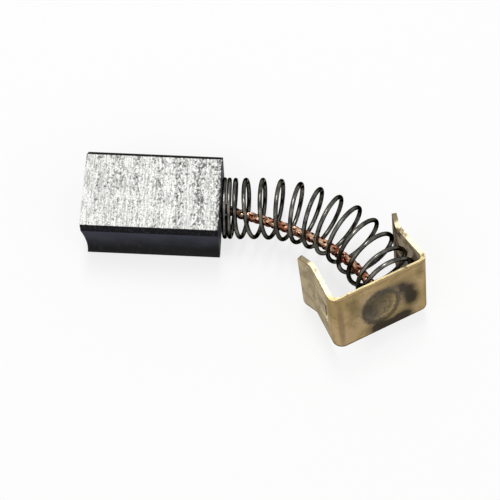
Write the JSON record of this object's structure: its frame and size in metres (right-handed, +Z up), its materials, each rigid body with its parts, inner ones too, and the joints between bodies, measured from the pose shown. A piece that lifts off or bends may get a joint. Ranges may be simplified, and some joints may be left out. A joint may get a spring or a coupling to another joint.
{
  "type": "carbon brush",
  "caption": "Rectangular carbon brush whose coiled spring and braided shunt curve round to a folded brass end clip.",
  "frame": {"origin": "centre of the carbon block's underside, on the surface that the brush lies on", "axes": "+X from the worn contact end to the back face, +Z up through the block's thickness; the spring and the clip curve towards -Y"},
  "size_m": [0.032, 0.0169, 0.0097],
  "materials": {
    "carbon": "ground dark grey carbon-graphite",
    "packed_powder": "packed copper-graphite powder",
    "copper_braid": "braided bare copper",
    "spring_steel": "dark drawn spring wire",
    "clip_brass": "tarnished brass sheet with bright cut edges"
  },
  "bodies": {
    "brush": {"carbon_block": "carbon", "tamping_plug": "packed_powder", "compression_spring": "spring_steel", "shunt_wire": "copper_braid"},
    "clip": {"terminal_clip": "clip_brass"}
  },
  "joints": [
    {"name": "spring_press", "type": "slide", "parent": "brush", "child": "clip", "axis": [-0.8809, 0.4733, 0], "range_m": [0, 0.007], "stiffness_N_per_m": 160, "deforming": ["compression_spring", "shunt_wire"]}
  ]
}
